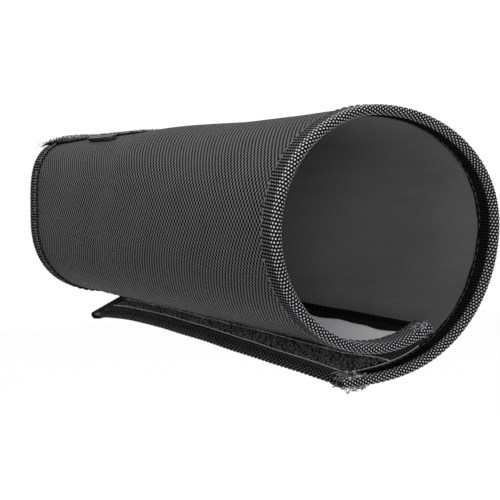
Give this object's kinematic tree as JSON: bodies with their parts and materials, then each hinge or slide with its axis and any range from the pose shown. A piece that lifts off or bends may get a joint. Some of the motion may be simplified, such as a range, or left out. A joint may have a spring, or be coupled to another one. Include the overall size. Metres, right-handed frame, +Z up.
{
  "type": "snoot",
  "caption": "Roll-up fabric light snoot for a shoe-mount flash: a tapered tube with bound edges, closed under the tube by a hook-and-loop flap.",
  "frame": {"origin": "centre of the rear opening, in the plane of the rear rim where the flash head goes in", "axes": "+Z up towards the hook patch, -Y along the tube towards the mouth, +X to the right seen from the mouth"},
  "size_m": [0.1142, 0.205, 0.1023],
  "materials": {
    "nylon": "black ballistic nylon, basket weave",
    "lining": "smooth dark grey lining cloth",
    "lining_pale": "silver-grey reflective lining cloth",
    "stiffener": "thin flexible plastic sheet",
    "binding": "black ribbed grosgrain tape",
    "hook": "black hook tape",
    "loop": "black brushed loop tape",
    "webbing": "folded nylon webbing",
    "thread": "polyester thread"
  },
  "bodies": {
    "top": {"front_binding_top": "binding", "head_grip_top": "hook", "lining_top": "lining", "outer_panel_top": "nylon", "patch_bar_tacks": "thread", "pull_tab": "webbing", "rear_binding_top": "binding", "stiffener_top": "stiffener", "top_hook_patch": "hook"},
    "upper_left": {"front_binding_upper_left": "binding", "lining_upper_left": "lining", "outer_panel_upper_left": "nylon", "rear_binding_upper_left": "binding", "stiffener_upper_left": "stiffener"},
    "left": {"front_binding_left": "binding", "head_grip_left": "hook", "lining_left": "lining", "outer_panel_left": "nylon", "rear_binding_left": "binding", "stiffener_left": "stiffener"},
    "lower_left": {"front_binding_lower_left": "binding", "lining_lower_left": "lining", "outer_panel_lower_left": "nylon", "rear_binding_lower_left": "binding", "stiffener_lower_left": "stiffener"},
    "inner_leaf": {"front_binding_inner_leaf": "binding", "inner_edge_binding": "binding", "inside_edge_tape": "binding", "lining_inner_leaf": "lining_pale", "loop_strip": "loop", "outer_panel_inner_leaf": "nylon", "rear_binding_inner_leaf": "binding", "stiffener_inner_leaf": "stiffener"},
    "upper_right": {"front_binding_upper_right": "binding", "lining_upper_right": "lining", "outer_panel_upper_right": "nylon", "rear_binding_upper_right": "binding", "stiffener_upper_right": "stiffener"},
    "right": {"front_binding_right": "binding", "head_grip_right": "hook", "lining_right": "lining", "outer_panel_right": "nylon", "rear_binding_right": "binding", "stiffener_right": "stiffener"},
    "lower_right": {"front_binding_lower_right": "binding", "lining_lower_right": "lining", "outer_panel_lower_right": "nylon", "rear_binding_lower_right": "binding", "stiffener_lower_right": "stiffener"},
    "closure_flap": {"flap_edge_binding": "binding", "front_binding_closure_flap": "binding", "hook_strip": "hook", "lining_closure_flap": "lining", "outer_panel_closure_flap": "nylon", "rear_binding_closure_flap": "binding", "stiffener_closure_flap": "stiffener"}
  },
  "joints": [
    {"name": "unroll", "type": "hinge", "parent": "top", "child": "upper_right", "pos_m": [0.03769, -0.1015, 0.03451], "axis": [0.0222, -0.9997, 0.0085], "range_deg": [0, 57.5]},
    {"name": "bend_right", "type": "hinge", "parent": "upper_right", "child": "right", "pos_m": [0.05244, -0.1015, 0.01776], "axis": [0.0887, -0.9942, -0.0616], "range_deg": [0, 41.35]},
    {"name": "bend_lower_right", "type": "hinge", "parent": "right", "child": "lower_right", "pos_m": [0.0509, -0.1015, -0.01982], "axis": [0.0861, -0.9963, 0.0044], "range_deg": [0, 43.85]},
    {"name": "flap_peel", "type": "hinge", "parent": "lower_right", "child": "closure_flap", "pos_m": [0.02493, -0.1015, -0.04509], "axis": [0.0197, -0.9981, -0.0576], "range_deg": [-5, 110]},
    {"name": "bend_upper_left", "type": "hinge", "parent": "top", "child": "upper_left", "pos_m": [-0.03603, -0.1015, 0.03086], "axis": [0.0196, 0.9998, 0.006], "range_deg": [0, 56.1]},
    {"name": "bend_left", "type": "hinge", "parent": "upper_left", "child": "left", "pos_m": [-0.04508, -0.1015, 0.01217], "axis": [0.0537, 0.9965, 0.0639], "range_deg": [0, 36.6]},
    {"name": "bend_lower_left", "type": "hinge", "parent": "left", "child": "lower_left", "pos_m": [-0.04107, -0.1015, -0.01975], "axis": [0.0479, 0.9988, 0.0011], "range_deg": [0, 37.85]},
    {"name": "bend_inner_leaf", "type": "hinge", "parent": "lower_left", "child": "inner_leaf", "pos_m": [-0.02098, -0.1015, -0.03758], "axis": [0.0028, 0.9992, 0.0411], "range_deg": [0, 41.1]}
  ],
  "couplings": [
    {"joint": "bend_right", "follows": "unroll", "ratio": 0.71739},
    {"joint": "bend_lower_right", "follows": "unroll", "ratio": 0.76087},
    {"joint": "bend_upper_left", "follows": "unroll", "ratio": 0.97391},
    {"joint": "bend_left", "follows": "unroll", "ratio": 0.63478},
    {"joint": "bend_lower_left", "follows": "unroll", "ratio": 0.65652},
    {"joint": "bend_inner_leaf", "follows": "unroll", "ratio": 0.71304}
  ]
}
